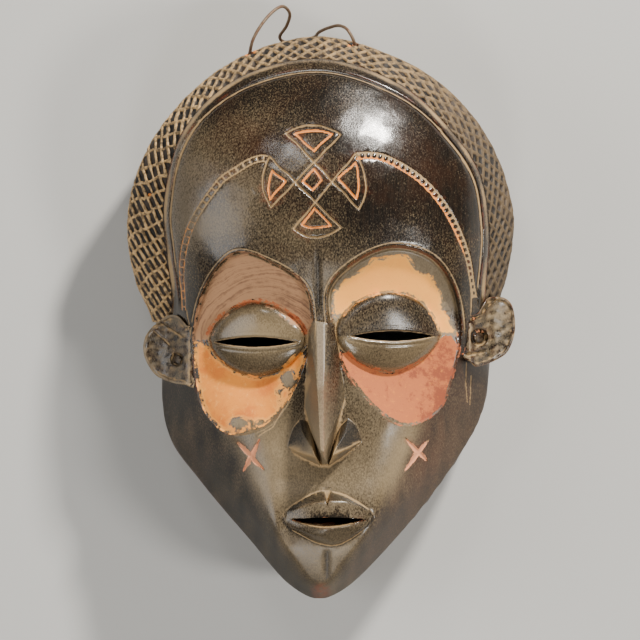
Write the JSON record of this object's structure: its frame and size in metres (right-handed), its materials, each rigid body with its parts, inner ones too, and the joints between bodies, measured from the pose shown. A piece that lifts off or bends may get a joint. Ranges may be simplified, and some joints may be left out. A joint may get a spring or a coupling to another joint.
{
  "type": "carved wooden face mask",
  "caption": "Hollow carved wooden face mask with socketed eyes, pierced slits, engraved forehead cross, lattice coiffure, ears and an iron hanging wire.",
  "frame": {"origin": "bottom centre of the bounding box, on the plane of the back rim", "axes": "+Z out of the face, away from the rim it lies on; +Y from the chin to the crown; +X towards the right ear as seen from the front"},
  "size_m": [0.1738, 0.2636, 0.1045],
  "materials": {
    "mask_wood": "dark glossy patina with clay paint in the eye sockets",
    "wire_iron": "browned, slightly rusted"
  },
  "bodies": {
    "root": {"mask": "mask_wood", "hanging_wire": "wire_iron"}
  },
  "joints": []
}
